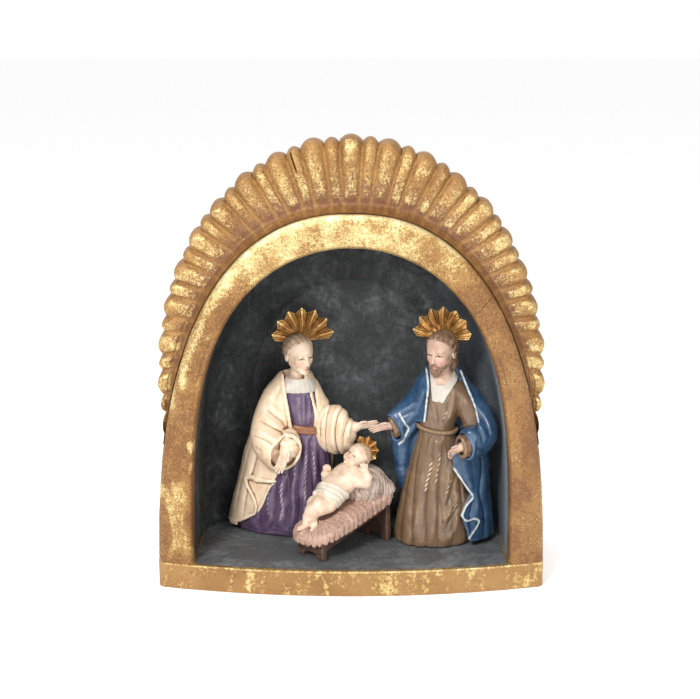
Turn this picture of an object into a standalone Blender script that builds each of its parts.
# Nativity creche: a gilded round-headed niche with a fluted crest, a kneeling woman,
# a kneeling man, and a child in a manger. Metres, +Z up, the open front faces -Y, and
# the origin is at the middle of the footprint on the surface the niche stands on.
import math

import bmesh
import bpy
from mathutils import Matrix, Vector

for old in list(bpy.data.objects):
    bpy.data.objects.remove(old)

# Fits
GAP = 0.0003
FIT = 0.0003

# How many sides the round shapes have
ROBE_SIDES = 28
ROBE_FOLDS = 7
BAND_SIDES = 16
SLEEVE_SIDES = 14
HAND_SIDES = 10
HEAD_SIDES = 16
PIN_SIDES = 12

# Base board
BASE_WIDTH = 0.300
BASE_DEPTH = 0.150
BASE_THICKNESS = 0.020
FRONT_BOW = 0.022
BASE_CORNER_RADIUS = 0.007
BASE_EDGE_ROUNDING = 0.003

# Front band round the opening
BAND_TOP = 0.2938
BAND_THICKNESS = 0.016
BAND_EDGE_ROUNDING = 0.0045
JAMB_WIDTH = 0.0283
ARCH_WIDTH = 0.0262
SPRING_HEIGHT = 0.120
LEFT_JOINT_ANGLE = 143.0
RIGHT_JOINT_ANGLE = 46.5

# Shell behind the band and the rounded hollow in it
SHELL_INSET = 0.010
SHELL_JOINT_ANGLE = 22.0
BACK_PANEL_THICKNESS = 0.020
HOLLOW_SET_IN = 0.030
HOLLOW_IN_PANEL = 0.009

# Fluted crest
CREST_TOP = 0.350
CREST_SIDE_SETBACK = 0.0005
CREST_CENTRE_HEIGHT = 0.168
CREST_THICKNESS = 0.020
CREST_SETBACK = 0.0135
FLUTE_CENTRE_HEIGHT = 0.202
FLUTE_PITCH_ANGLE = 11.8
WIDE_FLUTE_ANGLE = 6.9
FLUTE_HEIGHT = 0.0060
FLUTES_PER_SIDE = 10
RIM_SCALLOP = 0.0042
RIM_ROUNDING = 0.0060
COVE_WIDTH = 0.0060
COVE_BEAD_HEIGHT = 0.0022

# Dowels, screws and pegs
DOWEL_DIAMETER = 0.008
DOWEL_LENGTH = 0.030
DOWEL_IN_BASE = 0.012
SCREW_DIAMETER = 0.004
SCREW_HEAD_DIAMETER = 0.008
SCREW_HEAD_HEIGHT = 0.0025
SCREW_LENGTH = 0.034
PEG_DIAMETER = 0.008
PEG_IN_FLOOR = 0.010
PEG_IN_FIGURE = 0.014

# The room that the figures' places and measures are given for: half its width, its depth, its height
FIGURES_HALF_ROOM = 0.1217
FIGURES_ROOM_DEPTH = 0.139
FIGURES_ROOM_HEIGHT = 0.2476

# Kneeling woman, on the left
WOMAN_PLACE = (-0.052, 0.028)
WOMAN_WAIST_HEIGHT = 0.088
WOMAN_TORSO_LENGTH = 0.034
WOMAN_HEAD_HEIGHT = 0.031
WOMAN_NECK_LENGTH = 0.0115
WOMAN_FACE_TURN = 38.0
WOMAN_HALO_RADIUS = 0.0265

# Kneeling man, on the right
MAN_PLACE = (0.077, 0.004)
MAN_WAIST_HEIGHT = 0.094
MAN_TORSO_LENGTH = 0.041
MAN_HEAD_HEIGHT = 0.031
MAN_NECK_LENGTH = 0.006
MAN_FACE_TURN = -34.0
MAN_HALO_RADIUS = 0.0255

# Manger
MANGER_PLACE = (-0.005, -0.017)
MANGER_TURN = 44.0
MANGER_LENGTH = 0.076
MANGER_WIDTH = 0.030
MANGER_END_THICKNESS = 0.005
MANGER_NEAR_HEIGHT = 0.017
MANGER_FAR_HEIGHT = 0.040
RAIL_THICKNESS = 0.004
RAIL_DEPTH = 0.012
TROUGH_THICKNESS = 0.004
HAY_OVERHANG = 0.0055
HAY_RISE = 0.0080
HAY_DROP = 0.0090
HAY_DISH = 0.0030
HAY_RAGGEDNESS = 0.0011
HEAP_HALF_WIDTH = 0.0160

# Child
CHILD_HIP_HEIGHT = 0.043
CHILD_HEAD_RISE = 0.032
CHILD_HEAD_HEIGHT = 0.0215
CHILD_FACE_TURN = -30.0
CHILD_HALO_RADIUS = 0.0115

# The child leaves its bed up and towards the open front
CHILD_LIFT_DIRECTION = (0.0, -0.5, 0.87)
BED_CLEARING_LIFTS = (0.0, 0.0015, 0.0030, 0.0045)

FLOOR = BASE_THICKNESS
FRONT = -BASE_DEPTH / 2
BACK = BASE_DEPTH / 2
PANEL_FRONT = BACK - BACK_PANEL_THICKNESS
SHELL_BACK = PANEL_FRONT - GAP
SHELL_FRONT_DEPTH = BAND_THICKNESS + GAP
OPENING_HALF_WIDTH = BASE_WIDTH / 2 - JAMB_WIDTH
OPENING_TOP = BAND_TOP - ARCH_WIDTH
HOLLOW_START = FRONT + HOLLOW_SET_IN
HOLLOW_END = PANEL_FRONT + HOLLOW_IN_PANEL
CREST_HALF_WIDTH = BASE_WIDTH / 2 - CREST_SIDE_SETBACK
# The figures are carved as large as the room takes across, deep and high
FIGURE_SCALE = min(
    OPENING_HALF_WIDTH / FIGURES_HALF_ROOM,
    (HOLLOW_END - FRONT) / FIGURES_ROOM_DEPTH,
    (OPENING_TOP - FLOOR) / FIGURES_ROOM_HEIGHT,
)


def material(name, colour, roughness, metallic=0.0):
    made = bpy.data.materials.new(name)
    made.use_nodes = True
    shader = made.node_tree.nodes["Principled BSDF"]
    shader.inputs["Base Color"].default_value = (*colour, 1.0)
    shader.inputs["Roughness"].default_value = roughness
    shader.inputs["Metallic"].default_value = metallic
    made.diffuse_color = (*colour, 1.0)
    return made


GOLD = material("gold_leaf", (0.62, 0.36, 0.10), 0.42, 0.75)
CHARCOAL = material("charcoal_paint", (0.045, 0.052, 0.058), 0.60)
BARE_WOOD = material("bare_wood", (0.36, 0.24, 0.14), 0.70)
STEEL = material("screw_steel", (0.40, 0.38, 0.35), 0.45, 1.0)
HALO_GOLD = material("halo_gold", (0.42, 0.22, 0.06), 0.40, 0.70)
PURPLE = material("purple_paint", (0.10, 0.055, 0.13), 0.28)
CREAM = material("cream_paint", (0.62, 0.52, 0.38), 0.45)
LINEN = material("linen_paint", (0.66, 0.64, 0.56), 0.45)
BELT_BROWN = material("belt_paint", (0.24, 0.09, 0.04), 0.40)
SKIN = material("skin_paint", (0.72, 0.50, 0.36), 0.42)
HAIR_BROWN = material("hair_paint", (0.27, 0.17, 0.11), 0.50)
BLUE = material("blue_paint", (0.035, 0.085, 0.23), 0.38)
TAUPE = material("taupe_paint", (0.20, 0.14, 0.09), 0.28)
ROPE = material("rope_paint", (0.50, 0.38, 0.20), 0.45)
MANGER_BROWN = material("manger_paint", (0.08, 0.042, 0.03), 0.50)
HAY = material("hay_paint", (0.36, 0.21, 0.15), 0.60)
PILLOW_GREY = material("pillow_paint", (0.38, 0.30, 0.25), 0.55)
CLOTH_WHITE = material("loincloth_paint", (0.68, 0.60, 0.48), 0.45)


def figure_frame(name, x, y, turn=0.0):
    """An empty on the floor that carries the pieces of one figure."""
    empty = bpy.data.objects.new(name, None)
    empty.location = (x * FIGURE_SCALE, y * FIGURE_SCALE, FLOOR)
    empty.scale = (FIGURE_SCALE, FIGURE_SCALE, FIGURE_SCALE)
    empty.rotation_euler = (0, 0, math.radians(turn))
    bpy.context.collection.objects.link(empty)
    return empty


def loft(rings):
    """A closed shape through rings of equal length, with a flat face over each end."""
    bm = bmesh.new()
    rows = [[bm.verts.new(point) for point in ring] for ring in rings]
    count = len(rows[0])
    for low, high in zip(rows, rows[1:]):
        for i in range(count):
            j = (i + 1) % count
            bm.faces.new((low[i], low[j], high[j], high[i]))
    bm.faces.new(list(reversed(rows[0])))
    bm.faces.new(rows[-1])
    bmesh.ops.recalc_face_normals(bm, faces=bm.faces)
    return bm


def place(bm, name, carrier=None, paint=None):
    """Makes an object of a bmesh, carried by an empty where one is given."""
    mesh = bpy.data.meshes.new(name)
    bm.to_mesh(mesh)
    bm.free()
    made = bpy.data.objects.new(name, mesh)
    bpy.context.collection.objects.link(made)
    made.parent = carrier
    if paint:
        mesh.materials.append(paint)
    return made


def combine(target, other, operation="DIFFERENCE", solver="EXACT"):
    """Cuts the other shape from the target, or joins it on, and removes the other shape."""
    paints = list(target.data.materials)
    modifier = target.modifiers.new("shape", "BOOLEAN")
    modifier.operation = operation
    modifier.solver = solver
    modifier.object = other
    bpy.context.view_layer.update()
    graph = bpy.context.evaluated_depsgraph_get()
    mesh = bpy.data.meshes.new_from_object(target.evaluated_get(graph))
    target.modifiers.clear()
    target.data = mesh
    mesh.materials.clear()
    for paint in paints:
        mesh.materials.append(paint)
    for polygon in mesh.polygons:
        polygon.material_index = 0
    bpy.data.objects.remove(other)
    return target


def carve(target, bm, carrier, operation="DIFFERENCE"):
    """Cuts or joins a carved shape, whose cloth and skin lie too close for the EXACT solver."""
    return combine(target, place(bm, "shape", carrier), operation, "MANIFOLD")


def clear(target, form, carrier):
    """Makes room in a carved piece for its neighbour."""
    return carve(target, form(FIT), carrier)


def smooth(obj, angle=40.0):
    obj.data.shade_smooth()
    obj.data.set_sharp_from_angle(angle=math.radians(angle))


# Rings and limbs for the carved figures


def ellipse(x, y, z, half_width, half_depth, turn, sides, folds, fold_depth):
    """A level ring, drawn in between its folds."""
    points = []
    spin = math.radians(turn)
    for i in range(sides):
        angle = 2 * math.pi * i / sides
        wave = fold_depth * math.cos(folds * angle) if folds else 0.0
        across = (half_width + wave) * math.cos(angle)
        along = (half_depth + wave) * math.sin(angle)
        points.append(
            Vector((
                x + across * math.cos(spin) - along * math.sin(spin),
                y + across * math.sin(spin) + along * math.cos(spin),
                z,
            ))
        )
    return points


def robe(stations, grow=0.0, sides=BAND_SIDES, folds=0):
    """Level rings from (x, y, z, half width, half depth, turn, fold depth) stations."""
    rings = []
    last = len(stations) - 1
    for i, (x, y, z, half_width, half_depth, turn, fold_depth) in enumerate(stations):
        if i == 0:
            z -= grow
        if i == last:
            z += grow
        rings.append(
            ellipse(x, y, z, half_width + grow, half_depth + grow, turn, sides, folds, fold_depth)
        )
    return loft(rings)


def limb(stations, up=(0, 0, 1), grow=0.0, sides=HAND_SIDES, ends=None):
    """A tube through (x, y, z, half width, half height) stations.

    Its rings are square to the path, or turn evenly between two end directions.
    """
    centres = [Vector(station[:3]) for station in stations]
    last = len(centres) - 1
    rings = []
    for i, centre in enumerate(centres):
        along = (centres[min(i + 1, last)] - centres[max(i - 1, 0)]).normalized()
        if ends:
            along = Vector(ends[0]).lerp(Vector(ends[1]), i / last).normalized()
        if i == 0:
            centre = centre - along * grow
        if i == last:
            centre = centre + along * grow
        side = Vector(up).cross(along).normalized()
        rise = along.cross(side)
        half_width = stations[i][3] + grow
        half_height = stations[i][4] + grow
        ring = []
        for k in range(sides):
            angle = 2 * math.pi * k / sides
            ring.append(
                centre
                + side * half_width * math.cos(angle)
                + rise * half_height * math.sin(angle)
            )
        rings.append(ring)
    return loft(rings)


def prism(outline, low, high, axis="Y"):
    """A straight block over an outline: (x, z) pairs along Y, or (x, y) pairs along Z."""
    if axis == "Y":
        return loft([[Vector((a, depth, b)) for a, b in outline] for depth in (low, high)])
    return loft([[Vector((a, b, height)) for a, b in outline] for height in (low, high)])


def cylinder(x, y, z, radius, length, axis="Z", radius_end=None):
    """A straight or tapered pin that starts at (x, y, z) and runs along +Z or +Y."""
    rings = []
    for step, size in ((0.0, radius), (length, radius if radius_end is None else radius_end)):
        ring = []
        for i in range(PIN_SIDES):
            angle = 2 * math.pi * i / PIN_SIDES
            a = size * math.cos(angle)
            b = size * math.sin(angle)
            if axis == "Z":
                ring.append(Vector((x + a, y + b, z + step)))
            else:
                ring.append(Vector((x + a, y + step, z + b)))
        rings.append(ring)
    return loft(rings)


# The niche: curves of the band, the opening, the shell and the crest


def front(x):
    """The bowed front, as a depth for each place across."""
    return FRONT + FRONT_BOW * (2 * x / BASE_WIDTH) ** 2


# Half width, top, foot, and how square the curve is across and up
OUTER_CURVE = (BASE_WIDTH / 2, BAND_TOP, 0.0, 2.3, 2.5)
SHELL_CURVE = (BASE_WIDTH / 2 - SHELL_INSET, BAND_TOP - SHELL_INSET, 0.0, 2.3, 2.5)
OPENING_CURVE = (OPENING_HALF_WIDTH, OPENING_TOP, FLOOR, 2.0, 3.35)
CREST_CURVE = (
    CREST_HALF_WIDTH,
    CREST_TOP,
    CREST_CENTRE_HEIGHT,
    2.0,
    2.0,
)


def outside(curve, x, z):
    half_width, top, foot, across_power, up_power = curve
    rise = abs(z - foot) / (top - foot) if curve is CREST_CURVE else max(z - foot, 0) / (top - foot)
    return (abs(x) / half_width) ** across_power + rise**up_power > 1


def reach(curve, height, direction):
    """How far a ray from the centre line at this height goes before it leaves the curve."""
    near, far = 0.0, 2 * BAND_TOP
    for _ in range(40):
        middle = (near + far) / 2
        if outside(curve, middle * direction[0], height + middle * direction[1]):
            far = middle
        else:
            near = middle
    return near


def band_ray(s):
    """The ray across the band: s runs 0 to 1 up the left jamb, to 2 over the arch, to 3 down."""
    foot = FLOOR + GAP
    if s <= 1:
        return foot + s * (SPRING_HEIGHT - foot), (-1.0, 0.0)
    if s >= 2:
        return SPRING_HEIGHT - (s - 2) * (SPRING_HEIGHT - foot), (1.0, 0.0)
    angle = math.pi * (2 - s)
    return SPRING_HEIGHT, (math.cos(angle), math.sin(angle))


def along_band(angle):
    """The value of s where the ray stands at this angle, from the right-hand horizontal."""
    return 2 - angle / 180


def steps(first, last, count):
    return [first + (last - first) * i / count for i in range(count + 1)]


def on_ray(height, direction, distance, depth=None, y=None):
    x = distance * direction[0]
    return Vector((x, front(x) + depth if y is None else y, height + distance * direction[1]))


def band_section(s):
    """Outline of the rounded front band where a ray crosses it."""
    height, direction = band_ray(s)
    outer = reach(OUTER_CURVE, height, direction)
    inner = reach(OPENING_CURVE, height, direction)
    edge = BAND_EDGE_ROUNDING
    middle = (outer + inner) / 2
    profile = (
        (outer, BAND_THICKNESS),
        (outer, 1.1 * edge),
        (outer - 0.25 * edge, 0.45 * edge),
        (outer - edge, 0.1 * edge),
        (middle, 0.0),
        (inner + 1.2 * edge, 0.12 * edge),
        (inner + 0.4 * edge, 0.5 * edge),
        (inner, 1.4 * edge),
        (inner, BAND_THICKNESS),
    )
    return [on_ray(height, direction, distance, depth) for distance, depth in profile]


def narrowing(y):
    """How much of the opening's width the hollow still has at this depth."""
    if y <= HOLLOW_START:
        return 1.0
    share = (y - HOLLOW_START) / (HOLLOW_END - HOLLOW_START)
    return (1 - share**7) ** (1 / 2.2)


def shell_section(s):
    """Outline of the shell wall where a ray crosses it, from its bowed front to its back."""
    height, direction = band_ray(s)
    outer = reach(SHELL_CURVE, height, direction)
    inner = reach(OPENING_CURVE, height, direction)
    points = [
        on_ray(height, direction, outer, depth=SHELL_FRONT_DEPTH),
        on_ray(height, direction, outer, y=SHELL_BACK),
    ]
    for y in steps(SHELL_BACK, HOLLOW_START, 6):
        points.append(on_ray(height, direction, inner * narrowing(y), y=y))
    points.append(on_ray(height, direction, inner, depth=SHELL_FRONT_DEPTH))
    return points


def sweep(section, first, last, count, name, paint):
    made = place(loft([section(s) for s in steps(first, last, count)]), name, None, paint)
    smooth(made, 50)
    return made


def make_base_board():
    half = BASE_WIDTH / 2
    outline = []
    for i in range(15):
        x = -half + BASE_CORNER_RADIUS + (BASE_WIDTH - 2 * BASE_CORNER_RADIUS) * i / 14
        outline.append((x, front(x)))
    corner_y = front(half - BASE_CORNER_RADIUS)
    for side in (1, -1):
        arc = []
        for i in range(1, 4):
            angle = math.radians(90 * i / 3)
            x = side * (half - BASE_CORNER_RADIUS + BASE_CORNER_RADIUS * math.sin(angle))
            arc.append((x, corner_y + BASE_CORNER_RADIUS * (1 - math.cos(angle))))
        if side == 1:
            outline += arc + [(half, BACK), (-half, BACK)]
        else:
            outline += list(reversed(arc))
    board = place(prism(outline, 0.0, BASE_THICKNESS, "Z"), "base_board", None, GOLD)
    bm = bmesh.new()
    bm.from_mesh(board.data)
    rim = [
        edge
        for edge in bm.edges
        if abs(edge.verts[0].co.z - edge.verts[1].co.z) < 1e-6
        and max(edge.verts[0].co.y, edge.verts[1].co.y) < 0
    ]
    bmesh.ops.bevel(bm, geom=rim, offset=BASE_EDGE_ROUNDING, segments=2, profile=0.5, affect="EDGES")
    bm.to_mesh(board.data)
    bm.free()
    return board


DOWEL_PLACES = [
    (side * (BASE_WIDTH / 2 - SHELL_INSET - 0.011), y) for side in (-1, 1) for y in (-0.022, 0.034)
]


def screw_places():
    across = BASE_WIDTH / 2 - SHELL_INSET - 0.022
    return [(side * across, FLOOR + height) for side in (-1, 1) for height in (0.030, 0.100)]


def make_niche():
    board = make_base_board()
    for x, y in (WOMAN_PLACE, MAN_PLACE):
        depth = PEG_IN_FLOOR * FIGURE_SCALE + 2 * GAP
        radius = PEG_DIAMETER / 2 * FIGURE_SCALE + FIT
        hole = cylinder(x * FIGURE_SCALE, y * FIGURE_SCALE, FLOOR - depth, radius, 2 * depth)
        combine(board, place(hole, "cut"))
    for x, y in DOWEL_PLACES:
        hole = cylinder(x, y, FLOOR - DOWEL_IN_BASE - GAP, DOWEL_DIAMETER / 2 + FIT, DOWEL_LENGTH)
        combine(board, place(hole, "cut"))

    joint_gap = GAP / (math.pi * SPRING_HEIGHT)
    left_joint = along_band(LEFT_JOINT_ANGLE)
    right_joint = along_band(RIGHT_JOINT_ANGLE)
    sweep(band_section, 0, left_joint - joint_gap, 10, "left_jamb", GOLD)
    sweep(band_section, left_joint + joint_gap, right_joint - joint_gap, 16, "arch_head", GOLD)
    sweep(band_section, right_joint + joint_gap, 3, 12, "right_jamb", GOLD)

    left_cheek = sweep(
        shell_section, 0, along_band(180 - SHELL_JOINT_ANGLE) - joint_gap, 6, "left_cheek", CHARCOAL
    )
    right_cheek = sweep(
        shell_section, along_band(SHELL_JOINT_ANGLE) + joint_gap, 3, 6, "right_cheek", CHARCOAL
    )
    sweep(
        shell_section,
        along_band(180 - SHELL_JOINT_ANGLE) + joint_gap,
        along_band(SHELL_JOINT_ANGLE) - joint_gap,
        16,
        "vault",
        CHARCOAL,
    )
    for number, (x, y) in enumerate(DOWEL_PLACES, 1):
        low = FLOOR - DOWEL_IN_BASE
        name = f"cheek_dowel_{number}"
        place(cylinder(x, y, low, DOWEL_DIAMETER / 2, DOWEL_LENGTH), name, None, BARE_WOOD)
        cheek = left_cheek if x < 0 else right_cheek
        hole = cylinder(x, y, low, DOWEL_DIAMETER / 2 + FIT, DOWEL_LENGTH + GAP)
        combine(cheek, place(hole, "cut"))

    make_back_panel(left_cheek, right_cheek)


def round_the_band(over_the_arch):
    """Values of s for an outline: few up the jambs, where the curve is slight, and more over the arch."""
    return steps(0, 1, 4) + steps(1, 2, over_the_arch)[1:] + steps(2, 3, 4)[1:]


def hollow_ring(y):
    """The hollow's outline at one depth, closed just under the floor."""
    points = []
    for s in round_the_band(16):
        height, direction = band_ray(s)
        inner = reach(OPENING_CURVE, height, direction)
        points.append(on_ray(height, direction, inner * narrowing(y), y=y))
    low = FLOOR - 0.004
    points.append(Vector((points[-1].x, y, low)))
    points.append(Vector((points[0].x, y, low)))
    return points


def make_back_panel(left_cheek, right_cheek):
    outline = []
    for s in round_the_band(24):
        height, direction = band_ray(s)
        distance = reach(SHELL_CURVE, height, direction)
        outline.append((distance * direction[0], height + distance * direction[1]))
    panel = place(prism(outline, PANEL_FRONT, BACK), "back_panel", None, CHARCOAL)
    depths = [PANEL_FRONT - 0.004] + steps(PANEL_FRONT + 0.0015, HOLLOW_END - 0.0002, 3)
    combine(panel, place(loft([hollow_ring(y) for y in depths]), "cut"))
    for number, (x, z) in enumerate(screw_places(), 1):
        tip = BACK - SCREW_LENGTH
        head_start = BACK - SCREW_HEAD_HEIGHT
        radius = SCREW_DIAMETER / 2
        shank = cylinder(x, tip, z, radius, SCREW_LENGTH - 0.0004, "Y")
        screw = place(shank, f"back_screw_{number}", None, STEEL)
        head = cylinder(
            x, head_start, z, radius, SCREW_HEAD_HEIGHT - 0.0004, "Y", SCREW_HEAD_DIAMETER / 2
        )
        combine(screw, place(head, "head"), "UNION")
        for target in (panel, left_cheek if x < 0 else right_cheek):
            bore = cylinder(x, tip - GAP, z, radius + FIT, SCREW_LENGTH + 0.001, "Y")
            combine(target, place(bore, "cut"))
        sink = cylinder(
            x,
            head_start - GAP,
            z,
            radius + FIT,
            SCREW_HEAD_HEIGHT + 0.001,
            "Y",
            SCREW_HEAD_DIAMETER / 2 + 2 * FIT + 0.0004,
        )
        combine(panel, place(sink, "cut"))


def crest_section(angle, bulge, scallop):
    """Outline of the crest where a ray from the flutes' centre crosses it."""
    direction = (math.sin(math.radians(angle)), math.cos(math.radians(angle)))
    height = FLUTE_CENTRE_HEIGHT
    inner = reach(SHELL_CURVE, height, direction) + GAP
    start = reach(OUTER_CURVE, height, direction) + GAP
    rim = reach(CREST_CURVE, height, direction) - scallop
    cove = min(COVE_WIDTH, 0.35 * (rim - start))
    flute = start + cove
    length = rim - flute
    valley = CREST_SETBACK
    rise = bulge * FLUTE_HEIGHT
    back = SHELL_FRONT_DEPTH + CREST_THICKNESS
    profile = (
        (inner, SHELL_FRONT_DEPTH),
        (start, SHELL_FRONT_DEPTH),
        (start, valley),
        (start + 0.3 * cove, valley - COVE_BEAD_HEIGHT),
        (start + 0.65 * cove, valley),
        (flute, valley - 0.25 * rise),
        (flute + 0.15 * length, valley - 0.9 * rise),
        (flute + 0.75 * length, valley - rise),
        (flute + 0.94 * length, valley + 0.0014 - 0.7 * rise),
        (rim, valley + RIM_ROUNDING),
        (rim, back),
        (inner, back),
    )
    return [on_ray(height, direction, distance, depth) for distance, depth in profile]


def flute_columns():
    """(angle, bulge, scallop) of each ray, with a valley between each wide and narrow flute."""
    columns = []
    narrow_angle = FLUTE_PITCH_ANGLE - WIDE_FLUTE_ANGLE
    for number in range(-2 * FLUTES_PER_SIDE, 2 * FLUTES_PER_SIDE + 1):
        wide = number % 2 == 0
        middle = number * FLUTE_PITCH_ANGLE / 2
        half = (WIDE_FLUTE_ANGLE if wide else narrow_angle) / 2
        for across in (-1.0, -0.6, 0.0, 0.6) if wide else (-1.0, 0.0):
            drop = across**2 + (0.0 if wide else 0.25)
            height = math.sqrt(1 - across**2) * (1.0 if wide else 0.8)
            columns.append((middle + across * half, height, drop * RIM_SCALLOP))
    columns.append((middle + half, 0.0, RIM_SCALLOP))
    return columns


CREST_NAMES = (
    "crest_left_lower",
    "crest_left_upper",
    "crest_crown",
    "crest_right_upper",
    "crest_right_lower",
)
CREST_JOINT_FLUTES = (-13, -3, 3, 13)


def make_crest():
    columns = flute_columns()
    # Joints lie in the valley on the inner side of a narrow flute
    narrow_half = (FLUTE_PITCH_ANGLE - WIDE_FLUTE_ANGLE) / 2
    joints = [
        number * FLUTE_PITCH_ANGLE / 2 - math.copysign(narrow_half, number)
        for number in CREST_JOINT_FLUTES
    ]
    limits = [columns[0][0]] + joints + [columns[-1][0]]
    gap_angle = math.degrees(GAP / 2 / (BAND_TOP - FLUTE_CENTRE_HEIGHT))
    for name, low, high in zip(CREST_NAMES, limits, limits[1:]):
        inside = [column for column in columns if low + 0.05 < column[0] < high - 0.05]
        first = (low + gap_angle, 0.0, RIM_SCALLOP)
        last = (high - gap_angle, 0.0, RIM_SCALLOP)
        sections = [crest_section(*column) for column in [last] + inside[::-1] + [first]]
        smooth(place(loft(sections), name, None, GOLD), 60)


# Heads, hair and halos

# Share of the head's height: height, front, back, half width, nose
HEAD_RINGS = (
    (0.02, 0.14, 0.25, 0.190, 0.0),
    (0.05, 0.37, 0.25, 0.200, 0.0),
    (0.10, 0.41, 0.26, 0.235, 0.0),
    (0.18, 0.42, 0.30, 0.280, 0.0),
    (0.27, 0.43, 0.33, 0.315, 0.01),
    (0.33, 0.42, 0.37, 0.335, 0.03),
    (0.37, 0.41, 0.39, 0.345, 0.10),
    (0.47, 0.385, 0.43, 0.365, 0.05),
    (0.55, 0.40, 0.45, 0.375, 0.015),
    (0.66, 0.42, 0.465, 0.385, 0.0),
    (0.78, 0.39, 0.45, 0.365, 0.0),
    (0.88, 0.31, 0.38, 0.305, 0.0),
    (0.955, 0.19, 0.25, 0.195, 0.0),
    (0.995, 0.06, 0.10, 0.070, 0.0),
)

HAIR_RINGS = (
    (0.06, 0.00, 0.33, 0.300),
    (0.14, 0.03, 0.39, 0.350),
    (0.30, 0.05, 0.46, 0.400),
    (0.50, 0.08, 0.505, 0.425),
    (0.66, 0.14, 0.525, 0.435),
    (0.78, 0.36, 0.510, 0.415),
    (0.88, 0.355, 0.445, 0.360),
    (0.97, 0.25, 0.325, 0.255),
    (1.04, 0.10, 0.150, 0.115),
)

BEARD_RINGS = (
    (-0.10, 0.29, -0.05, 0.100),
    (-0.05, 0.41, 0.00, 0.190),
    (0.02, 0.455, 0.02, 0.250),
    (0.14, 0.475, 0.04, 0.310),
    (0.24, 0.465, 0.06, 0.345),
    (0.30, 0.420, 0.06, 0.350),
)


def head_ring(height, ahead, behind, half_width, nose, grow, sides):
    ring = []
    for i in range(sides):
        angle = 2 * math.pi * i / sides
        x = (half_width + grow) * math.sin(angle)
        length = ahead + grow if math.cos(angle) > 0 else behind + grow
        y = -length * math.cos(angle)
        if i == 0:
            y -= nose
        ring.append(Vector((x, y, height - 0.5)))
    return ring


def head_shape(size, neck_length, grow=0.0, sides=HEAD_SIDES):
    """A head on its neck, face towards -Y, centred half way between chin and crown."""
    share = grow / size
    neck = 0.19
    foot = -neck_length / size
    rings = [head_ring(foot - share, neck - 0.06, neck + 0.06, neck, 0.0, share, sides)]
    for i, (height, ahead, behind, half_width, nose) in enumerate(HEAD_RINGS):
        top = share if i == len(HEAD_RINGS) - 1 else 0.0
        rings.append(head_ring(height + top, ahead, behind, half_width, nose, share, sides))
    return loft([[point * size for point in ring] for ring in rings])


def shell_of_rings(size, table, grow=0.0, sides=HEAD_SIDES):
    share = grow / size
    rings = []
    last = len(table) - 1
    for i, (height, ahead, behind, half_width) in enumerate(table):
        height += share if i == last else -share if i == 0 else 0.0
        rings.append(head_ring(height, ahead, behind, half_width, 0.0, share, sides))
    return loft([[point * size for point in ring] for ring in rings])


def turned(bm, x, y, z, turn, nod=0.0, roll=0.0):
    """Turns a shape about its own centre and moves it to its place."""
    spin = Matrix.Rotation(math.radians(turn), 4, "Z")
    tip = Matrix.Rotation(math.radians(nod), 4, "X")
    lean = Matrix.Rotation(math.radians(roll), 4, "Y")
    bmesh.ops.transform(bm, matrix=Matrix.Translation((x, y, z)) @ spin @ tip @ lean, verts=bm.verts)
    return bm


def halo_shape(radius, rays=7, thickness=0.0016, fold=0.0014, inner_share=0.30):
    """A pleated half disc of pointed rays, standing in the XZ plane."""
    sections = []
    for i in range(2 * rays + 1):
        angle = math.radians(-90 + 180 * i / (2 * rays))
        point = i % 2 == 1
        outer = radius if point else 0.84 * radius
        y = -fold / 2 if point else fold / 2
        section = []
        for distance, depth in (
            (inner_share * radius, -thickness / 2),
            (outer, -thickness / 2),
            (outer, thickness / 2),
            (inner_share * radius, thickness / 2),
        ):
            share = distance / radius
            section.append(
                Vector((distance * math.sin(angle), y * share + depth, distance * math.cos(angle)))
            )
        sections.append(section)
    return loft(sections)


def peg(name, carrier):
    """A dowel fixed in a figure, standing in its hole in the floor."""
    made = cylinder(0, 0, -PEG_IN_FLOOR, PEG_DIAMETER / 2, PEG_IN_FLOOR + PEG_IN_FIGURE)
    return place(made, name, carrier, BARE_WOOD)


def peg_bore():
    return cylinder(0, 0, -0.002, PEG_DIAMETER / 2 + FIT, PEG_IN_FIGURE + 0.002 + GAP)


# Kneeling woman


def woman_gown(grow=0.0):
    waist = WOMAN_WAIST_HEIGHT
    torso = WOMAN_TORSO_LENGTH
    stations = (
        (0.000, 0.000, GAP, 0.0415, 0.0215, -12, 0.0010),
        (0.000, 0.000, 0.05 * waist, 0.0430, 0.0230, -12, 0.0012),
        (0.001, 0.000, 0.28 * waist, 0.0385, 0.0220, -10, 0.0012),
        (0.005, -0.001, 0.50 * waist, 0.0320, 0.0200, -8, 0.0010),
        (0.010, -0.002, 0.74 * waist, 0.0245, 0.0170, -4, 0.0007),
        (0.013, -0.003, 0.90 * waist, 0.0180, 0.0140, 0, 0.0003),
        (0.014, -0.0035, waist, 0.0145, 0.0122, 8, 0.0),
        (0.0138, -0.0035, waist + 0.28 * torso, 0.0158, 0.0128, 15, 0.0),
        (0.012, -0.0025, waist + 0.62 * torso, 0.0180, 0.0130, 20, 0.0),
        (0.0105, -0.002, waist + 0.85 * torso, 0.0165, 0.0112, 22, 0.0),
        (0.0103, -0.002, waist + torso, 0.0115, 0.0090, 22, 0.0),
        (0.0103, -0.002, waist + 1.06 * torso, 0.0080, 0.0070, 22, 0.0),
    )
    return robe(stations, grow, ROBE_SIDES, ROBE_FOLDS)


def woman_belt(grow=0.0):
    waist = WOMAN_WAIST_HEIGHT
    stations = (
        (0.0138, -0.0035, waist - 0.0025, 0.0166, 0.0140, 8, 0.0),
        (0.0138, -0.0035, waist + 0.0005, 0.0168, 0.0142, 9, 0.0),
        (0.0138, -0.0035, waist + 0.0035, 0.0166, 0.0140, 10, 0.0),
    )
    return robe(stations, grow)


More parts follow.
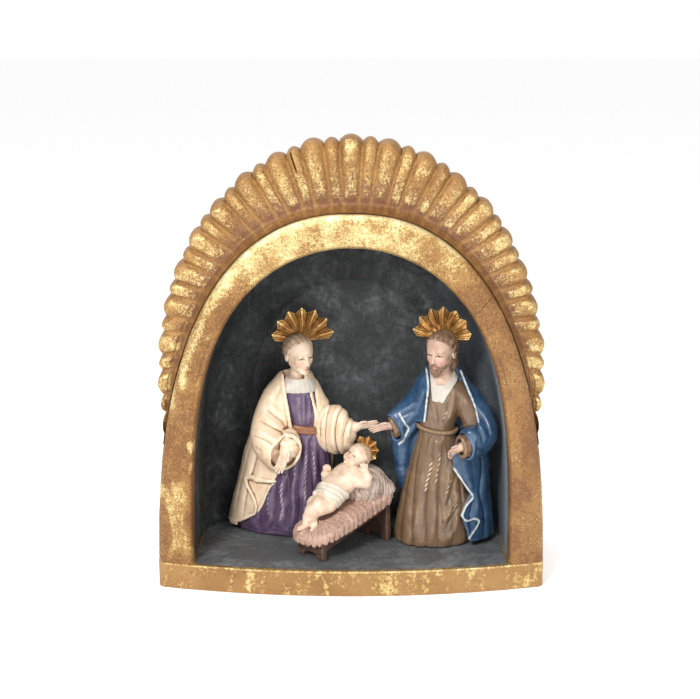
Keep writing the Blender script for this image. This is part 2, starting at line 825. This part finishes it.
def woman_collar(grow=0.0):
    base = WOMAN_WAIST_HEIGHT + WOMAN_TORSO_LENGTH
    stations = (
        (0.0105, -0.002, base - 0.0050, 0.0178, 0.0128, 22, 0.0),
        (0.0103, -0.002, base - 0.0010, 0.0160, 0.0118, 22, 0.0),
        (0.0101, -0.002, base + 0.0040, 0.0115, 0.0095, 22, 0.0),
        (0.0100, -0.002, base + 0.0075, 0.0090, 0.0085, 22, 0.0),
    )
    return robe(stations, grow)


def woman_head_place():
    top = WOMAN_WAIST_HEIGHT + WOMAN_TORSO_LENGTH
    return (0.0100, -0.0045, top + WOMAN_NECK_LENGTH + WOMAN_HEAD_HEIGHT / 2, WOMAN_FACE_TURN, 12, -3)


def woman_head(grow=0.0):
    size = WOMAN_HEAD_HEIGHT
    return turned(head_shape(size, WOMAN_NECK_LENGTH + 0.006, grow), *woman_head_place())


def woman_hair(grow=0.0):
    return turned(shell_of_rings(WOMAN_HEAD_HEIGHT, HAIR_RINGS, grow), *woman_head_place())


def woman_right_hand(grow=0.0):
    top = WOMAN_WAIST_HEIGHT
    stations = (
        (0.0020, -0.0210, top - 0.0070, 0.0036, 0.0032),
        (0.0035, -0.0270, top - 0.0130, 0.0038, 0.0032),
        (0.0020, -0.0315, top - 0.0200, 0.0050, 0.0028),
        (-0.0005, -0.0335, top - 0.0260, 0.0050, 0.0025),
        (-0.0030, -0.0345, top - 0.0320, 0.0038, 0.0021),
        (-0.0045, -0.0342, top - 0.0365, 0.0020, 0.0013),
    )
    return limb(stations, up=(0.6, -0.8, 0), grow=grow)


def woman_left_hand(grow=0.0):
    top = WOMAN_WAIST_HEIGHT
    stations = (
        (0.0440, -0.0120, top - 0.0005, 0.0036, 0.0042),
        (0.0540, -0.0170, top + 0.0035, 0.0032, 0.0040),
        (0.0600, -0.0182, top + 0.0045, 0.0024, 0.0054),
        (0.0670, -0.0184, top + 0.0060, 0.0022, 0.0052),
        (0.0710, -0.0185, top + 0.0075, 0.0018, 0.0040),
        (0.0745, -0.0186, top + 0.0090, 0.0010, 0.0020),
    )
    return limb(stations, grow=grow)


# Where each wide sleeve ends: centre, way it faces, its long way, half width, half length
WOMAN_RIGHT_SLEEVE_END = (
    (-0.0005, -0.0265, WOMAN_WAIST_HEIGHT - 0.0200),
    (0.42, -0.80, -0.42),
    (0.72, 0.0, 0.69),
    0.0125,
    0.0180,
)
WOMAN_LEFT_SLEEVE_END = (
    (0.0535, -0.0155, WOMAN_WAIST_HEIGHT + 0.0045),
    (0.85, -0.50, 0.0),
    (0.0, 0.0, 1.0),
    0.0080,
    0.0115,
)
MAN_RIGHT_SLEEVE_END = (
    (-0.0405, 0.0002, MAN_WAIST_HEIGHT - 0.0005),
    (-0.86, -0.42, -0.28),
    (0.0, 0.0, 1.0),
    0.0092,
    0.0135,
)
MAN_LEFT_SLEEVE_END = (
    (0.0140, -0.0265, MAN_WAIST_HEIGHT - 0.0085),
    (-0.84, -0.54, -0.05),
    (0.0, 0.0, 1.0),
    0.0100,
    0.0130,
)
SLEEVE_END_LENGTH = 0.009
SLEEVE_MOUTH_DEPTH = 0.006
SLEEVE_CLOTH = 0.0022


def sleeve_end(end):
    """The flared last stretch of a sleeve."""
    centre, facing, long_way, half_width, half_length = end
    stations = []
    for share, size in ((1.0, 0.80), (0.45, 0.92), (0.0, 1.0)):
        point = Vector(centre) - Vector(facing).normalized() * share * SLEEVE_END_LENGTH
        stations.append((*point, size * half_width, size * half_length))
    return limb(stations, up=long_way, sides=SLEEVE_SIDES, ends=(facing, facing))


def sleeve_mouth(end):
    """The hollow in the end of a sleeve, round the forearm."""
    centre, facing, long_way, half_width, half_length = end
    stations = []
    for step, cloth in ((-SLEEVE_MOUTH_DEPTH, 1.4 * SLEEVE_CLOTH), (0.004, SLEEVE_CLOTH)):
        point = Vector(centre) + Vector(facing).normalized() * step
        stations.append((*point, half_width - cloth, half_length - cloth))
    return limb(stations, up=long_way, sides=SLEEVE_SIDES, ends=(facing, facing))


def woman_mantle():
    waist = WOMAN_WAIST_HEIGHT
    torso = WOMAN_TORSO_LENGTH
    shoulder = waist + torso
    stations = (
        (-0.0050, 0.0015, 0.055 * waist, 0.0455, 0.0235, -8, 0.0012),
        (-0.0035, 0.0020, 0.28 * waist, 0.0430, 0.0235, -8, 0.0012),
        (-0.0010, 0.0025, 0.53 * waist, 0.0395, 0.0230, -7, 0.0010),
        (0.0015, 0.0020, 0.75 * waist, 0.0375, 0.0215, -4, 0.0007),
        (0.0035, 0.0010, 0.93 * waist, 0.0340, 0.0205, 0, 0.0),
        (0.0050, 0.0000, waist + 0.38 * torso, 0.0305, 0.0195, 8, 0.0),
        (0.0062, 0.0000, waist + 0.70 * torso, 0.0280, 0.0180, 14, 0.0),
        (0.0075, 0.0005, shoulder, 0.0230, 0.0150, 20, 0.0),
        (0.0090, 0.0010, shoulder + 0.0070, 0.0170, 0.0125, 22, 0.0),
        (0.0095, 0.0015, shoulder + 0.0115, 0.0130, 0.0108, 22, 0.0),
    )
    robe_shape = robe(stations, 0.0, ROBE_SIDES, ROBE_FOLDS)
    mantle = place(robe_shape, "woman_mantle", WOMAN, CREAM)
    opening = (
        (0.0005, shoulder + 0.020),
        (0.0010, shoulder + 0.004),
        (0.0040, waist + 0.2 * torso),
        (-0.0040, 0.75 * waist),
        (-0.0150, 0.44 * waist),
        (-0.0250, 0.25 * waist),
        (-0.0410, 0.10 * waist),
        (-0.0430, -0.01),
        (0.0700, -0.01),
        (0.0700, 0.60 * waist),
        (0.0300, 0.95 * waist),
        (0.0225, waist + 0.4 * torso),
        (0.0200, shoulder + 0.004),
        (0.0200, shoulder + 0.020),
    )
    carve(mantle, prism(opening, -0.08, 0.004), WOMAN)
    right_sleeve = (
        (-0.0010, -0.0020, shoulder - 0.0010, 0.0090, 0.0065),
        (-0.0080, -0.0060, shoulder - 0.0090, 0.0120, 0.0100),
        (-0.0135, -0.0120, shoulder - 0.0250, 0.0135, 0.0115),
        (-0.0150, -0.0180, waist - 0.0030, 0.0145, 0.0130),
        (-0.0110, -0.0225, waist - 0.0140, 0.0140, 0.0150),
    )
    shape = limb(right_sleeve, sides=SLEEVE_SIDES, ends=((-0.75, -0.25, -0.6), (0.42, -0.80, -0.42)))
    carve(mantle, shape, WOMAN, "UNION")
    carve(mantle, sleeve_end(WOMAN_RIGHT_SLEEVE_END), WOMAN, "UNION")
    left_sleeve = (
        (0.0220, 0.0030, shoulder - 0.0030, 0.0095, 0.0080),
        (0.0280, 0.0000, shoulder - 0.0130, 0.0115, 0.0120),
        (0.0350, -0.0050, shoulder - 0.0290, 0.0120, 0.0195),
        (0.0430, -0.0100, shoulder - 0.0320, 0.0112, 0.0195),
        (0.0495, -0.0135, shoulder - 0.0300, 0.0095, 0.0150),
    )
    shape = limb(left_sleeve, sides=SLEEVE_SIDES, ends=((0.75, -0.1, -0.65), (0.85, -0.50, 0.0)))
    carve(mantle, shape, WOMAN, "UNION")
    carve(mantle, sleeve_end(WOMAN_LEFT_SLEEVE_END), WOMAN, "UNION")
    for end in (WOMAN_RIGHT_SLEEVE_END, WOMAN_LEFT_SLEEVE_END):
        carve(mantle, sleeve_mouth(end), WOMAN)
    for form in (
        woman_gown,
        woman_belt,
        woman_collar,
        woman_hair,
        woman_head,
        woman_right_hand,
        woman_left_hand,
    ):
        clear(mantle, form, WOMAN)
    return mantle


def make_woman():
    gown = place(woman_gown(), "woman_gown", WOMAN, PURPLE)
    clear(gown, woman_head, WOMAN)
    clear(gown, woman_right_hand, WOMAN)
    clear(gown, woman_left_hand, WOMAN)
    carve(gown, peg_bore(), WOMAN)
    belt = place(woman_belt(), "woman_belt", WOMAN, BELT_BROWN)
    clear(belt, woman_gown, WOMAN)
    collar = place(woman_collar(), "woman_collar", WOMAN, LINEN)
    clear(collar, woman_gown, WOMAN)
    clear(collar, woman_head, WOMAN)
    head = place(woman_head(), "woman_head", WOMAN, SKIN)
    hair = place(woman_hair(), "woman_hair", WOMAN, HAIR_BROWN)
    clear(hair, woman_head, WOMAN)
    clear(hair, woman_collar, WOMAN)
    mantle = woman_mantle()
    x, y, z = woman_head_place()[:3]
    halo_bm = turned(halo_shape(WOMAN_HALO_RADIUS), x + 0.003, y + 0.0075, z + 0.0095, 16, -8, 0)
    halo = place(halo_bm, "woman_halo", WOMAN, HALO_GOLD)
    clear(halo, woman_hair, WOMAN)
    clear(halo, woman_head, WOMAN)
    right_hand = place(woman_right_hand(), "woman_right_hand", WOMAN, SKIN)
    left_hand = place(woman_left_hand(), "woman_left_hand", WOMAN, SKIN)
    peg("woman_peg", WOMAN)
    for piece in (gown, belt, collar, head, hair, mantle, right_hand, left_hand):
        smooth(piece)


# Kneeling man


def man_tunic(grow=0.0):
    waist = MAN_WAIST_HEIGHT
    torso = MAN_TORSO_LENGTH
    stations = (
        (-0.0100, -0.0015, GAP, 0.0300, 0.0245, 6, 0.0010),
        (-0.0100, -0.0015, 0.05 * waist, 0.0315, 0.0260, 6, 0.0012),
        (-0.0095, -0.0010, 0.30 * waist, 0.0285, 0.0245, 4, 0.0012),
        (-0.0090, -0.0005, 0.56 * waist, 0.0235, 0.0210, 0, 0.0010),
        (-0.0085, -0.0010, 0.80 * waist, 0.0185, 0.0165, -4, 0.0006),
        (-0.0080, -0.0015, 0.95 * waist, 0.0150, 0.0130, -8, 0.0),
        (-0.0080, -0.0015, waist + 0.03 * torso, 0.0145, 0.0125, -10, 0.0),
        (-0.0070, -0.0015, waist + 0.30 * torso, 0.0170, 0.0132, -15, 0.0),
        (-0.0055, -0.0010, waist + 0.68 * torso, 0.0195, 0.0135, -20, 0.0),
        (-0.0045, -0.0010, waist + 0.88 * torso, 0.0170, 0.0118, -20, 0.0),
        (-0.0045, -0.0005, waist + torso, 0.0110, 0.0090, -20, 0.0),
        (-0.0045, -0.0005, waist + 1.05 * torso, 0.0080, 0.0075, -20, 0.0),
    )
    return robe(stations, grow, ROBE_SIDES, ROBE_FOLDS)


def man_belt(grow=0.0):
    waist = MAN_WAIST_HEIGHT
    stations = (
        (-0.0080, -0.0015, waist - 0.0025, 0.0164, 0.0144, -10, 0.0),
        (-0.0080, -0.0015, waist, 0.0166, 0.0146, -10, 0.0),
        (-0.0080, -0.0015, waist + 0.0025, 0.0164, 0.0144, -10, 0.0),
    )
    return robe(stations, grow)


def man_collar(grow=0.0):
    base = MAN_WAIST_HEIGHT + MAN_TORSO_LENGTH
    stations = (
        (-0.0053, -0.0013, base - 0.0135, 0.0208, 0.0148, -20, 0.0),
        (-0.0045, -0.0012, base - 0.0030, 0.0170, 0.0125, -20, 0.0),
        (-0.0045, -0.0008, base + 0.0020, 0.0115, 0.0100, -20, 0.0),
        (-0.0045, -0.0005, base + 0.0050, 0.0092, 0.0088, -20, 0.0),
    )
    return robe(stations, grow)


def man_head_place():
    top = MAN_WAIST_HEIGHT + MAN_TORSO_LENGTH
    return (-0.0060, -0.0060, top + MAN_NECK_LENGTH + MAN_HEAD_HEIGHT / 2, MAN_FACE_TURN, 10, 2)


def man_head(grow=0.0):
    size = MAN_HEAD_HEIGHT
    return turned(head_shape(size, MAN_NECK_LENGTH + 0.008, grow), *man_head_place())


def man_hair(grow=0.0):
    return turned(shell_of_rings(MAN_HEAD_HEIGHT, HAIR_RINGS, grow), *man_head_place())


def man_beard(grow=0.0):
    return turned(shell_of_rings(MAN_HEAD_HEIGHT, BEARD_RINGS, grow), *man_head_place())


def man_right_cuff(grow=0.0):
    top = MAN_WAIST_HEIGHT
    stations = (
        (-0.0340, 0.0030, top + 0.0020, 0.0050, 0.0070),
        (-0.0405, 0.0005, top + 0.0000, 0.0056, 0.0086),
        (-0.0440, -0.0002, top - 0.0010, 0.0056, 0.0088),
    )
    return limb(stations, grow=grow, sides=PIN_SIDES)


def man_right_hand(grow=0.0):
    top = MAN_WAIST_HEIGHT
    stations = (
        (-0.0370, 0.0004, top + 0.0025, 0.0030, 0.0040),
        (-0.0450, -0.0004, top + 0.0005, 0.0026, 0.0040),
        (-0.0500, -0.0006, top - 0.0005, 0.0022, 0.0050),
        (-0.0550, -0.0008, top - 0.0015, 0.0021, 0.0046),
        (-0.0590, -0.0010, top - 0.0025, 0.0017, 0.0034),
        (-0.0620, -0.0011, top - 0.0035, 0.0009, 0.0018),
    )
    return limb(stations, grow=grow)


def man_left_cuff(grow=0.0):
    top = MAN_WAIST_HEIGHT
    stations = (
        (0.0200, -0.0225, top - 0.0075, 0.0060, 0.0080),
        (0.0130, -0.0270, top - 0.0085, 0.0066, 0.0090),
        (0.0085, -0.0298, top - 0.0095, 0.0066, 0.0090),
    )
    return limb(stations, grow=grow, sides=PIN_SIDES)


def man_left_hand(grow=0.0):
    top = MAN_WAIST_HEIGHT
    stations = (
        (0.0140, -0.0268, top - 0.0090, 0.0036, 0.0042),
        (0.0070, -0.0312, top - 0.0095, 0.0034, 0.0042),
        (0.0030, -0.0335, top - 0.0105, 0.0030, 0.0052),
        (-0.0010, -0.0350, top - 0.0125, 0.0026, 0.0044),
        (-0.0035, -0.0350, top - 0.0155, 0.0016, 0.0024),
    )
    return limb(stations, grow=grow)


def man_cloak():
    waist = MAN_WAIST_HEIGHT
    torso = MAN_TORSO_LENGTH
    shoulder = waist + torso
    stations = (
        (0.0030, 0.0020, 0.04 * waist, 0.0365, 0.0275, 4, 0.0012),
        (0.0025, 0.0015, 0.30 * waist, 0.0345, 0.0260, 4, 0.0012),
        (0.0020, 0.0010, 0.56 * waist, 0.0330, 0.0250, 2, 0.0010),
        (0.0010, 0.0010, 0.80 * waist, 0.0325, 0.0230, 0, 0.0006),
        (0.0010, 0.0010, 0.96 * waist, 0.0315, 0.0215, -5, 0.0),
        (0.0000, 0.0010, waist + 0.25 * torso, 0.0295, 0.0200, -12, 0.0),
        (-0.0015, 0.0005, waist + 0.60 * torso, 0.0280, 0.0190, -18, 0.0),
        (-0.0030, 0.0005, waist + 0.88 * torso, 0.0235, 0.0165, -20, 0.0),
        (-0.0040, 0.0010, shoulder + 0.0030, 0.0165, 0.0135, -20, 0.0),
        (-0.0045, 0.0015, shoulder + 0.0080, 0.0125, 0.0110, -20, 0.0),
    )
    cloak = place(robe(stations, 0.0, ROBE_SIDES, ROBE_FOLDS), "man_cloak", MAN, BLUE)
    opening = (
        (-0.0155, shoulder + 0.020),
        (-0.0155, shoulder + 0.002),
        (-0.0190, waist + 0.15 * torso),
        (-0.0600, waist + 0.10 * torso),
        (-0.0600, -0.01),
        (0.0180, -0.01),
        (0.0185, 0.05 * waist),
        (0.0110, 0.28 * waist),
        (0.0200, 0.42 * waist),
        (0.0110, 0.57 * waist),
        (0.0030, 0.68 * waist),
        (0.0100, 0.95 * waist),
        (0.0180, waist + 0.2 * torso),
        (0.0080, shoulder + 0.003),
        (0.0080, shoulder + 0.020),
    )
    carve(cloak, prism(opening, -0.08, 0.002), MAN)
    right_sleeve = (
        (-0.0105, 0.0045, shoulder - 0.0055, 0.0085, 0.0075),
        (-0.0180, 0.0055, shoulder - 0.0150, 0.0105, 0.0095),
        (-0.0260, 0.0045, shoulder - 0.0255, 0.0110, 0.0105),
        (-0.0335, 0.0030, shoulder - 0.0355, 0.0100, 0.0120),
    )
    shape = limb(right_sleeve, sides=SLEEVE_SIDES, ends=((-0.70, 0.0, -0.71), (-0.86, -0.42, -0.28)))
    carve(cloak, shape, MAN, "UNION")
    carve(cloak, sleeve_end(MAN_RIGHT_SLEEVE_END), MAN, "UNION")
    left_sleeve = (
        (0.0085, -0.0030, shoulder - 0.0075, 0.0080, 0.0075),
        (0.0140, -0.0060, shoulder - 0.0160, 0.0095, 0.0095),
        (0.0200, -0.0110, shoulder - 0.0300, 0.0105, 0.0115),
        (0.0250, -0.0170, shoulder - 0.0420, 0.0112, 0.0135),
        (0.0220, -0.0225, shoulder - 0.0480, 0.0108, 0.0145),
    )
    shape = limb(left_sleeve, sides=SLEEVE_SIDES, ends=((0.75, -0.25, -0.62), (-0.84, -0.54, -0.05)))
    carve(cloak, shape, MAN, "UNION")
    carve(cloak, sleeve_end(MAN_LEFT_SLEEVE_END), MAN, "UNION")
    for end in (MAN_RIGHT_SLEEVE_END, MAN_LEFT_SLEEVE_END):
        carve(cloak, sleeve_mouth(end), MAN)
    for form in (
        man_tunic,
        man_belt,
        man_collar,
        man_hair,
        man_beard,
        man_head,
        man_right_cuff,
        man_left_cuff,
        man_right_hand,
        man_left_hand,
    ):
        clear(cloak, form, MAN)
    return cloak


def make_man():
    tunic = place(man_tunic(), "man_tunic", MAN, TAUPE)
    for form in (man_head, man_right_cuff, man_left_cuff, man_left_hand):
        clear(tunic, form, MAN)
    carve(tunic, peg_bore(), MAN)
    belt = place(man_belt(), "man_belt", MAN, ROPE)
    clear(belt, man_tunic, MAN)
    clear(belt, man_left_cuff, MAN)
    collar = place(man_collar(), "man_collar", MAN, LINEN)
    for form in (man_tunic, man_head, man_beard):
        clear(collar, form, MAN)
    head = place(man_head(), "man_head", MAN, SKIN)
    beard = place(man_beard(), "man_beard", MAN, HAIR_BROWN)
    clear(beard, man_head, MAN)
    clear(beard, man_tunic, MAN)
    hair = place(man_hair(), "man_hair", MAN, HAIR_BROWN)
    for form in (man_head, man_collar, man_beard, man_tunic):
        clear(hair, form, MAN)
    cloak = man_cloak()
    x, y, z = man_head_place()[:3]
    halo_bm = turned(halo_shape(MAN_HALO_RADIUS), x + 0.001, y + 0.0085, z + 0.0085, -24, -8, 0)
    halo = place(halo_bm, "man_halo", MAN, HALO_GOLD)
    clear(halo, man_hair, MAN)
    clear(halo, man_head, MAN)
    right_cuff = place(man_right_cuff(), "man_right_cuff", MAN, TAUPE)
    clear(right_cuff, man_right_hand, MAN)
    left_cuff = place(man_left_cuff(), "man_left_cuff", MAN, TAUPE)
    clear(left_cuff, man_left_hand, MAN)
    right_hand = place(man_right_hand(), "man_right_hand", MAN, SKIN)
    left_hand = place(man_left_hand(), "man_left_hand", MAN, SKIN)
    peg("man_peg", MAN)
    for piece in (
        tunic,
        belt,
        collar,
        head,
        beard,
        hair,
        cloak,
        right_cuff,
        left_cuff,
        right_hand,
        left_hand,
    ):
        smooth(piece)


# Manger, in its own frame: +X runs from the near end to the far end


def rail_height(x):
    """Top of the side rails, which climb from the near end to the far end."""
    share = (x + MANGER_LENGTH / 2) / MANGER_LENGTH
    return MANGER_NEAR_HEIGHT + share * (MANGER_FAR_HEIGHT - MANGER_NEAR_HEIGHT) + 0.002


def end_board(name, x, height):
    """An end board on two feet, wider at the floor than at its top."""
    foot = MANGER_WIDTH / 2
    top = foot - 0.0015
    notch = 0.0045
    outline = (
        (-foot, GAP),
        (-foot + 0.007, GAP),
        (-foot + 0.009, notch),
        (foot - 0.009, notch),
        (foot - 0.007, GAP),
        (foot, GAP),
        (top, height),
        (-top, height),
    )
    rings = []
    for depth in (x, x + MANGER_END_THICKNESS):
        rings.append([Vector((depth, a, b)) for a, b in outline])
    return place(loft(rings), name, MANGER, MANGER_BROWN)


def sloping_board(name, half_width_low, half_width_high, drop, thickness):
    """A board between the ends that climbs with the rails."""
    ends = MANGER_LENGTH / 2 - MANGER_END_THICKNESS - GAP
    rings = []
    for x in (-ends, ends):
        top = rail_height(x) - drop
        rings.append([
            Vector((x, half_width_low, top - thickness)),
            Vector((x, half_width_high, top - thickness)),
            Vector((x, half_width_high, top)),
            Vector((x, half_width_low, top)),
        ])
    return place(loft(rings), name, MANGER, MANGER_BROWN)


def hay_shape(grow=0.0):
    """A long bed with a ragged rim that lies on the trough and hangs over its rails."""
    half = MANGER_LENGTH / 2
    rings = []
    for number, x in enumerate(steps(-half - 0.0065, half - 0.004, 12)):
        share = (x + half) / MANGER_LENGTH
        near_end = min(1.0, (share + 0.10) / 0.16)
        far_end = min(1.0, (1.0 - share) / 0.13)
        round_off = math.sqrt(max(0.0, 1 - (1 - near_end) ** 2)) * math.sqrt(1 - (1 - far_end) ** 2)
        width = (MANGER_WIDTH / 2 + HAY_OVERHANG) * (0.45 + 0.55 * round_off)
        ring = []
        for i in range(BAND_SIDES):
            angle = 2 * math.pi * i / BAND_SIDES
            ragged = HAY_RAGGEDNESS * math.cos(math.pi * (number + i))
            squareness = 1.0 if math.sin(angle) > 0 else 0.35
            side = math.copysign(abs(math.cos(angle)) ** squareness, math.cos(angle))
            across = (width + ragged + grow) * side
            up = math.sin(angle)
            tall = (HAY_RISE if up > 0 else HAY_DROP) * (0.5 + 0.5 * round_off)
            dish = HAY_DISH * math.cos(min(1.0, abs(across) / width) * math.pi / 2) if up > 0 else 0.0
            ring.append(Vector((x, across, rail_height(x) + (tall + grow) * up - dish)))
        rings.append(ring)
    return loft(rings)


# Place along the manger, top above the floor, share of the full width
HEAP_STATIONS = (
    (0.0000, 0.0415, 0.55),
    (0.0050, 0.0510, 0.80),
    (0.0100, 0.0590, 0.92),
    (0.0160, 0.0640, 1.00),
    (0.0220, 0.0645, 1.00),
    (0.0280, 0.0610, 0.95),
    (0.0340, 0.0545, 0.82),
    (0.0385, 0.0475, 0.55),
)


def heap_shape():
    """The heap under the child's back and head, sunk in the bed below it."""
    rings = []
    for x, top, share in HEAP_STATIONS:
        bottom = rail_height(x) + 0.001
        middle = (top + bottom) / 2
        ring = []
        for i in range(BAND_SIDES):
            angle = 2 * math.pi * i / BAND_SIDES
            across = HEAP_HALF_WIDTH * share * math.copysign(abs(math.cos(angle)) ** 0.7, math.cos(angle))
            ring.append(Vector((x, across, middle + (top - middle) * math.sin(angle))))
        rings.append(ring)
    return loft(rings)


def make_manger():
    near = end_board("manger_near_end", -MANGER_LENGTH / 2, MANGER_NEAR_HEIGHT)
    far = end_board("manger_far_end", MANGER_LENGTH / 2 - MANGER_END_THICKNESS, MANGER_FAR_HEIGHT)
    outer = MANGER_WIDTH / 2 - 0.0020
    inner = outer - RAIL_THICKNESS
    boards = [near, far]
    boards.append(sloping_board("manger_left_rail", inner, outer, 0.002, RAIL_DEPTH))
    boards.append(sloping_board("manger_right_rail", -outer, -inner, 0.002, RAIL_DEPTH))
    trough = sloping_board("manger_trough", -inner + GAP, inner - GAP, 0.0065, TROUGH_THICKNESS)
    boards.append(trough)
    hay = place(hay_shape(), "hay", MANGER, HAY)
    pillow = place(heap_shape(), "pillow", MANGER, PILLOW_GREY)
    for board in boards:
        carve(hay, bmesh_of(board, FIT), MANGER)
    clear(pillow, hay_shape, MANGER)
    for board in (near, far):
        carve(pillow, bmesh_of(board, FIT), MANGER)
    return hay, pillow


def bmesh_of(obj, grow):
    """A copy of a piece's shape, grown by a clearance along its normals."""
    bm = bmesh.new()
    bm.from_mesh(obj.data)
    bm.normal_update()
    moves = {}
    for vert in bm.verts:
        normals = []
        for face in vert.link_faces:
            if all(face.normal.dot(known) < 0.999 for known in normals):
                normals.append(face.normal.copy())
        total = Vector((0, 0, 0))
        for normal in normals:
            total += normal
        moves[vert] = total * grow
    for vert, move in moves.items():
        vert.co += move
    return bm


# Child, level with the room but placed with the manger


def child_body_parts():
    hip = CHILD_HIP_HEIGHT
    torso = (
        (-0.0175, -0.0110, hip - 0.0030, 0.0070, 0.0060),
        (-0.0140, -0.0088, hip, 0.0108, 0.0088),
        (-0.0070, -0.0040, hip + 0.0070, 0.0116, 0.0096),
        (0.0000, 0.0000, hip + 0.0140, 0.0122, 0.0096),
        (0.0040, 0.0026, hip + 0.0182, 0.0108, 0.0080),
        (0.0065, 0.0040, hip + 0.0215, 0.0050, 0.0048),
        (0.0085, 0.0048, hip + 0.0250, 0.0044, 0.0044),
    )
    left_leg = (
        (-0.0130, -0.0145, hip - 0.0030, 0.0068, 0.0066),
        (-0.0200, -0.0175, hip - 0.0058, 0.0066, 0.0064),
        (-0.0262, -0.0200, hip - 0.0108, 0.0054, 0.0054),
        (-0.0305, -0.0215, hip - 0.0158, 0.0042, 0.0042),
        (-0.0335, -0.0225, hip - 0.0190, 0.0032, 0.0036),
        (-0.0362, -0.0235, hip - 0.0190, 0.0018, 0.0022),
    )
    right_leg = (
        (-0.0175, -0.0060, hip - 0.0025, 0.0068, 0.0066),
        (-0.0235, -0.0095, hip - 0.0038, 0.0064, 0.0062),
        (-0.0285, -0.0140, hip - 0.0095, 0.0052, 0.0052),
        (-0.0315, -0.0170, hip - 0.0145, 0.0042, 0.0042),
        (-0.0335, -0.0190, hip - 0.0175, 0.0032, 0.0034),
        (-0.0360, -0.0205, hip - 0.0172, 0.0018, 0.0020),
    )
    right_arm = (
        (-0.0055, 0.0080, hip + 0.0145, 0.0046, 0.0046),
        (-0.0105, 0.0070, hip + 0.0115, 0.0042, 0.0042),
        (-0.0142, 0.0050, hip + 0.0115, 0.0038, 0.0038),
        (-0.0148, 0.0038, hip + 0.0160, 0.0033, 0.0033),
        (-0.0142, 0.0032, hip + 0.0205, 0.0038, 0.0038),
        (-0.0140, 0.0030, hip + 0.0238, 0.0020, 0.0020),
    )
    left_arm = (
        (0.0060, -0.0065, hip + 0.0155, 0.0046, 0.0046),
        (0.0120, -0.0070, hip + 0.0110, 0.0042, 0.0042),
        (0.0172, -0.0065, hip + 0.0092, 0.0038, 0.0038),
        (0.0188, -0.0050, hip + 0.0145, 0.0032, 0.0032),
        (0.0176, -0.0034, hip + 0.0200, 0.0034, 0.0028),
        (0.0167, -0.0026, hip + 0.0235, 0.0018, 0.0015),
    )
    return torso, left_leg, right_leg, right_arm, left_arm


def child_body(name="cut", grow=0.0):
    parts = child_body_parts()
    body = place(limb(parts[0], grow=grow, sides=PIN_SIDES), name, CHILD, SKIN)
    for part in parts[1:]:
        shape = limb(part, up=(0.3, -0.9, 0.2), grow=grow, sides=8)
        carve(body, shape, CHILD, "UNION")
    return body


def child_head_place():
    return (0.0100, 0.0055, CHILD_HIP_HEIGHT + CHILD_HEAD_RISE, CHILD_FACE_TURN, -38, 30)


def child_head(grow=0.0):
    return turned(head_shape(CHILD_HEAD_HEIGHT, 0.0035, grow, 12), *child_head_place())


def child_hair(grow=0.0):
    return turned(shell_of_rings(CHILD_HEAD_HEIGHT, HAIR_RINGS, grow, 12), *child_head_place())


def child_loincloth(grow=0.0):
    hip = CHILD_HIP_HEIGHT
    stations = (
        (-0.0190, -0.0125, hip - 0.0045, 0.0125, 0.0105),
        (-0.0155, -0.0100, hip - 0.0012, 0.0136, 0.0113),
        (-0.0105, -0.0065, hip + 0.0035, 0.0136, 0.0110),
        (-0.0070, -0.0040, hip + 0.0070, 0.0129, 0.0105),
    )
    return limb(stations, grow=grow, sides=SLEEVE_SIDES)


def make_child(hay, pillow):
    body = child_body("child_body")
    clear(body, child_head, CHILD)
    head = place(child_head(), "child_head", CHILD, SKIN)
    hair = place(child_hair(), "child_hair", CHILD, HAIR_BROWN)
    clear(hair, child_head, CHILD)
    combine(hair, child_body("cut", FIT), "DIFFERENCE", "MANIFOLD")
    cloth = place(child_loincloth(), "child_loincloth", CHILD, CLOTH_WHITE)
    combine(cloth, child_body("cut", FIT), "DIFFERENCE", "MANIFOLD")
    x, y, z = child_head_place()[:3]
    half_disc = halo_shape(CHILD_HALO_RADIUS, rays=5, thickness=0.0012, fold=0.0009)
    halo_bm = turned(half_disc, x + 0.0055, y + 0.0030, z + 0.0025, 0, -20, 55)
    halo = place(halo_bm, "child_halo", CHILD, HALO_GOLD)
    clear(halo, child_hair, CHILD)
    clear(halo, child_head, CHILD)
    for bed in (hay, pillow):
        for lift in BED_CLEARING_LIFTS:
            cutters = [place(form(FIT), "cut", CHILD) for form in (child_loincloth, child_hair, child_head)]
            cutters.append(child_body("cut", FIT))
            for cutter in cutters:
                cutter.location = Vector(CHILD_LIFT_DIRECTION) * lift
                combine(bed, cutter, "DIFFERENCE", "MANIFOLD")
    for piece in (body, head, hair, cloth, hay, pillow):
        smooth(piece)


WOMAN = figure_frame("woman_frame", *WOMAN_PLACE)
MAN = figure_frame("man_frame", *MAN_PLACE)
MANGER = figure_frame("manger_frame", *MANGER_PLACE, MANGER_TURN)
CHILD = figure_frame("child_frame", *MANGER_PLACE)

make_niche()
make_crest()
make_woman()
make_man()
make_child(*make_manger())
